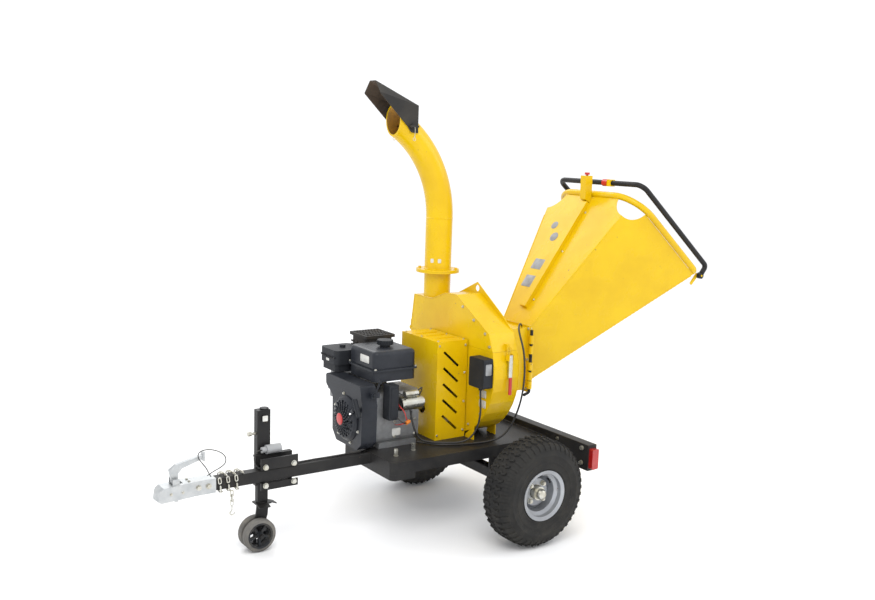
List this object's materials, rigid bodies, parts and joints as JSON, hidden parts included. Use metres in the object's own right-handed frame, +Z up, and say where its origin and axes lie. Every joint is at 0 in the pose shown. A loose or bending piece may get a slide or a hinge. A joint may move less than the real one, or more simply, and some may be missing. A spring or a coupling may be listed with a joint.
{
  "type": "wood chipper",
  "caption": "Towable disc wood chipper: single-axle trailer, engine, belt-driven disc in a round casing, swing-away funnel hopper and turning discharge chute with a tilting flap.",
  "frame": {"origin": "on the ground under the middle of the machine's bounding box", "axes": "+X to the rear (hopper side), +Y to the machine's right seen from behind the coupling, +Z up"},
  "size_m": [2.8062, 1.116, 2.044],
  "materials": {
    "black_paint": "satin black powder coat on the chassis",
    "yellow_paint": "gloss signal-yellow paint on sheet steel",
    "zinc": "bright zinc plate",
    "galvanised": "galvanised pressed steel",
    "rim_silver": "silver paint",
    "tyre_rubber": "black tyre rubber",
    "caster_rubber": "grey solid rubber",
    "black_plastic": "moulded black plastic",
    "grey_plastic": "light grey plastic",
    "red_plastic": "red plastic",
    "lamp_red": "red lens",
    "engine_black": "semi-gloss black enamel",
    "engine_alloy": "cast aluminium",
    "rotor_steel": "machined steel",
    "knife_steel": "ground tool steel",
    "belt_rubber": "belt rubber",
    "cable_black": "black cable sheath"
  },
  "bodies": {
    "chassis": {"drawbar": "black_paint", "base_tray": "black_paint", "axle_beam": "black_paint", "rear_beam": "black_paint", "tail_lights": "lamp_red", "bright_bolts": "zinc", "coupling_body": "galvanised", "safety_chain": "zinc", "breakaway_cable": "cable_black", "light_plug": "grey_plastic", "plug_cable": "cable_black", "jack_bracket": "black_paint", "jack_tube": "black_paint", "engine_block": "engine_alloy", "engine_shroud": "engine_black", "recoil_cover": "engine_black", "fuel_tank": "engine_black", "air_cleaner": "black_plastic", "muffler": "engine_black", "carburettor": "engine_alloy", "control_boxes": "black_plastic", "starter_motor": "zinc", "belt_guard": "yellow_paint", "drive_belts": "belt_rubber", "rotor_bearings": "rotor_steel", "casing_lower": "yellow_paint", "feed_box": "yellow_paint", "hinge_rod": "black_paint", "stop_cable": "cable_black", "engine_cables": "cable_black"},
    "lever": {"coupling_lever": "galvanised"},
    "latch_jaw": {"ball_latch": "galvanised"},
    "jack_plunger": {"jack_pin": "zinc"},
    "leg": {"jack_leg": "black_paint"},
    "fork": {"caster_fork": "black_paint"},
    "caster_near": {"caster_hub_near": "black_plastic", "caster_tyre_near": "caster_rubber"},
    "caster_far": {"caster_hub_far": "black_plastic", "caster_tyre_far": "caster_rubber"},
    "wheel_left": {"tyre_left": "tyre_rubber", "rim_left": "rim_silver", "hub_left": "zinc"},
    "wheel_right": {"tyre_right": "tyre_rubber", "rim_right": "rim_silver", "hub_right": "zinc"},
    "pull_handle": {"recoil_handle": "black_plastic"},
    "tank_cap": {"fuel_cap": "black_plastic"},
    "throttle": {"throttle_lever": "black_plastic"},
    "crank": {"crank_pulley": "rotor_steel"},
    "rotor": {"rotor_shaft": "rotor_steel", "rotor_disc": "rotor_steel", "knives": "knife_steel"},
    "hood": {"casing_hood": "yellow_paint"},
    "chute": {"chute_tube": "yellow_paint"},
    "flap": {"deflector": "black_paint"},
    "toggle": {"latch_lever": "red_plastic"},
    "funnel": {"hopper": "yellow_paint", "hopper_rim": "yellow_paint"},
    "bail": {"safety_bar": "black_paint"},
    "button": {"stop_button": "red_plastic"}
  },
  "joints": [
    {"name": "left_wheel_turn", "type": "hinge", "parent": "chassis", "child": "wheel_left", "pos_m": [0.1567, -0.472, 0.245], "axis": [0, 1, 0], "continuous": true},
    {"name": "right_wheel_turn", "type": "hinge", "parent": "chassis", "child": "wheel_right", "pos_m": [0.1567, 0.472, 0.245], "axis": [0, 1, 0], "continuous": true},
    {"name": "lever_lift", "type": "hinge", "parent": "chassis", "child": "lever", "pos_m": [-1.3193, 0, 0.396], "axis": [0, -1, 0], "range_deg": [0, 70]},
    {"name": "jaw_open", "type": "hinge", "parent": "chassis", "child": "latch_jaw", "pos_m": [-1.3178, 0, 0.357], "axis": [0, -1, 0], "range_deg": [0, 10.5]},
    {"name": "plunger_pull", "type": "slide", "parent": "chassis", "child": "jack_plunger", "axis": [-1, 0, 0], "range_m": [0, 0.012], "stiffness_N_per_m": 300, "springref_m": -0.004},
    {"name": "leg_travel", "type": "slide", "parent": "chassis", "child": "leg", "axis": [0, 0, 1], "range_m": [-0.06, 0.085]},
    {"name": "fork_swivel", "type": "hinge", "parent": "leg", "child": "fork", "pos_m": [-0.9083, 0.07, 0.205], "axis": [0, 0, 1], "continuous": true},
    {"name": "caster_near_turn", "type": "hinge", "parent": "fork", "child": "caster_near", "pos_m": [-0.9303, 0.046, 0.073], "axis": [0, 1, 0], "continuous": true},
    {"name": "caster_far_turn", "type": "hinge", "parent": "fork", "child": "caster_far", "pos_m": [-0.9303, 0.094, 0.073], "axis": [0, 1, 0], "continuous": true},
    {"name": "starter_pull", "type": "slide", "parent": "chassis", "child": "pull_handle", "axis": [0, -0.8575, 0.5145], "range_m": [0, 0.5]},
    {"name": "cap_turn", "type": "hinge", "parent": "chassis", "child": "tank_cap", "pos_m": [-0.2793, 0.112, 0.852], "axis": [0, 0, 1], "range_deg": [0, 90]},
    {"name": "throttle_move", "type": "hinge", "parent": "chassis", "child": "throttle", "pos_m": [-0.4293, -0.06, 0.652], "axis": [0, 1, 0], "range_deg": [-12, 20]},
    {"name": "rotor_turn", "type": "hinge", "parent": "chassis", "child": "rotor", "pos_m": [0.1567, 0.095, 0.716], "axis": [1, 0, 0], "continuous": true},
    {"name": "crank_turn", "type": "hinge", "parent": "chassis", "child": "crank", "pos_m": [-0.0433, 0.095, 0.522], "axis": [1, 0, 0], "continuous": true},
    {"name": "hood_open", "type": "hinge", "parent": "chassis", "child": "hood", "pos_m": [0.1702, 0.492, 0.828], "axis": [-1, 0, 0], "range_deg": [0, 75]},
    {"name": "chute_turn", "type": "hinge", "parent": "hood", "child": "chute", "pos_m": [0.1702, 0.357, 1.138], "axis": [0, 0, 1], "continuous": true},
    {"name": "flap_tilt", "type": "hinge", "parent": "chute", "child": "flap", "pos_m": [-0.0483, 0.357, 1.84], "axis": [0, 1, 0], "range_deg": [-18, 40]},
    {"name": "toggle_open", "type": "hinge", "parent": "chassis", "child": "toggle", "pos_m": [0.1817, -0.24, 0.806], "axis": [-1, 0, 0], "range_deg": [0, 110]},
    {"name": "hopper_swing", "type": "hinge", "parent": "chassis", "child": "funnel", "pos_m": [0.3977, -0.126, 0.75], "axis": [0, 0, -1], "range_deg": [0, 95]},
    {"name": "bail_push", "type": "hinge", "parent": "funnel", "child": "bail", "pos_m": [1.35818, 0, 1.13748], "axis": [0, -1, 0], "range_deg": [0, 2.4], "stiffness_Nm_per_rad": 260, "springref_deg": -3.44},
    {"name": "button_push", "type": "slide", "parent": "funnel", "child": "button", "axis": [0, 0, -1], "range_m": [0, 0.004], "stiffness_N_per_m": 500, "springref_m": -0.003}
  ],
  "couplings": [
    {"joint": "jaw_open", "follows": "lever_lift", "ratio": 0.15},
    {"joint": "crank_turn", "follows": "rotor_turn", "ratio": 1.7273}
  ]
}
